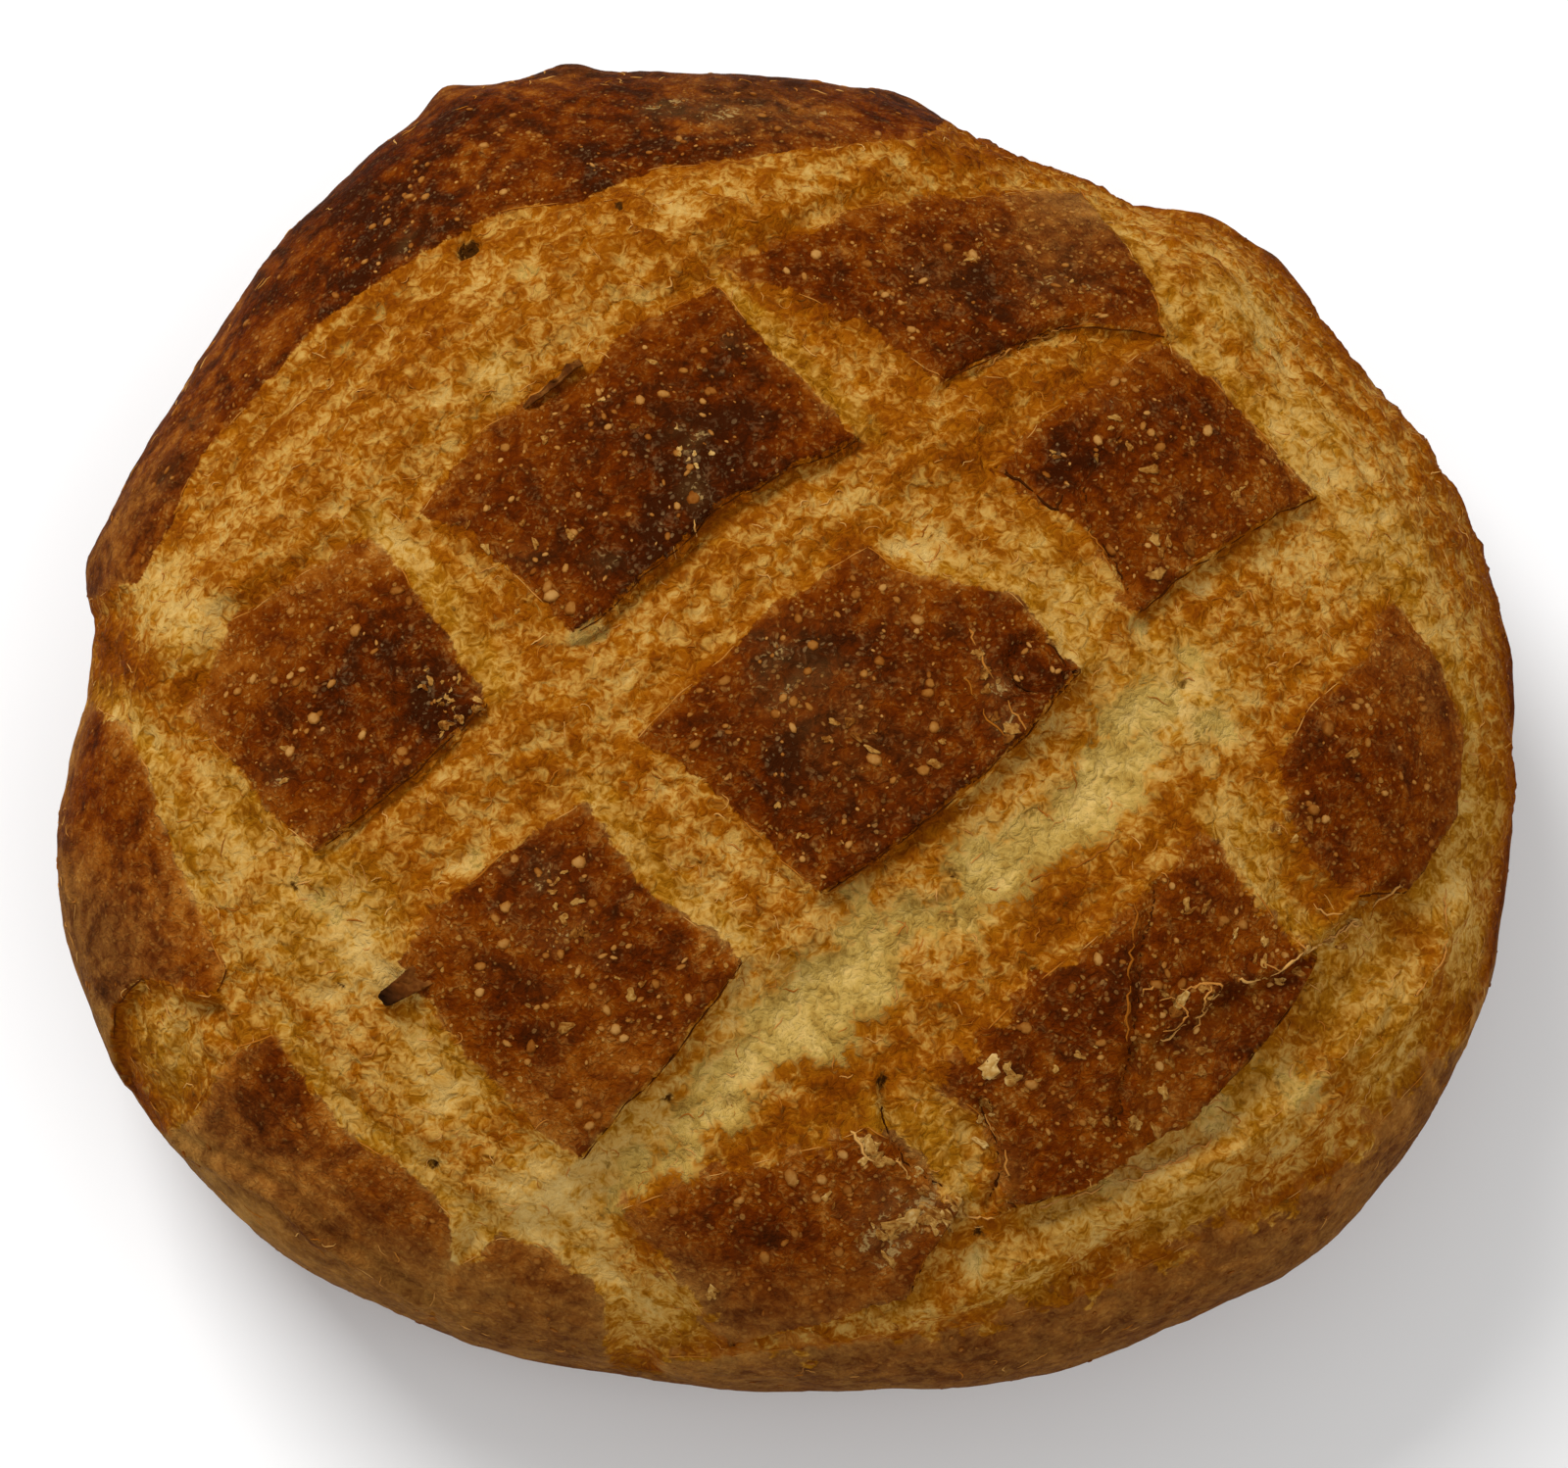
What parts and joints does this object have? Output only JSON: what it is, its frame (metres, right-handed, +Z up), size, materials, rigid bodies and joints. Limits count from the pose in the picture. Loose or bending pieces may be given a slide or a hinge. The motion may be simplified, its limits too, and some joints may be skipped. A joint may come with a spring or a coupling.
{
  "type": "round scored bread loaf",
  "caption": "Round crusty bread loaf with a domed top, deep crossing cuts that leave raised pieces of brown skin, and a flat base.",
  "frame": {"origin": "centre of the loaf's outline, on the surface it rests on", "axes": "+Z up through the crown, +X along the loaf's longest width, +Y towards its back"},
  "size_m": [0.2384, 0.2199, 0.0959],
  "materials": {
    "crust": "dry baked crust, brown skin with golden torn dough in the cuts"
  },
  "bodies": {
    "root": {"loaf": "crust"}
  },
  "joints": []
}
